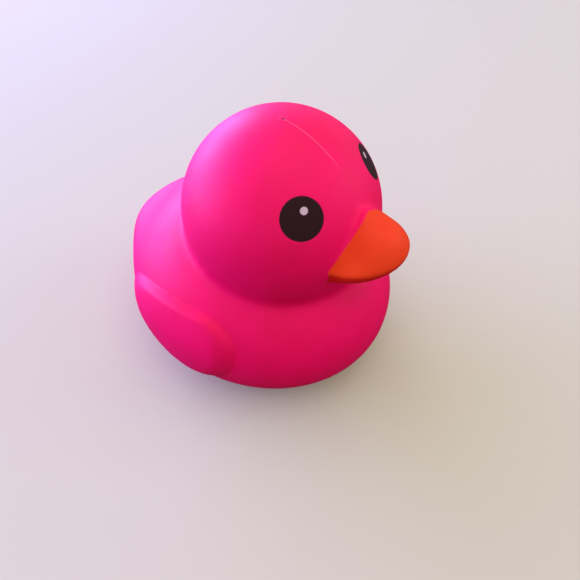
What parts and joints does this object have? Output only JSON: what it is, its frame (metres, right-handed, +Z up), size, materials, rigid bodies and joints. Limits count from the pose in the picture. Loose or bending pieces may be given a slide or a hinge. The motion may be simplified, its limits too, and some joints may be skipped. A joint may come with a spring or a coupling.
{
  "type": "squishy duck toy",
  "caption": "Soft foam duck with a round head on a bowl-shaped body, raised wings, a soft tail ridge, an upturned painted beak and printed eyes.",
  "frame": {"origin": "middle of the flat base that the duck stands on", "axes": "+X the way the duck looks, +Y its left side, +Z up"},
  "size_m": [0.136, 0.1188, 0.1162],
  "materials": {
    "pink_foam_skin": "satin skin of soft polyurethane foam, as it leaves the mould",
    "orange_beak_paint": "satin flexible paint on the foam's skin",
    "black_eye_print": "satin flexible ink on the foam's skin"
  },
  "bodies": {
    "root": {"duck": "pink_foam_skin"}
  },
  "joints": []
}
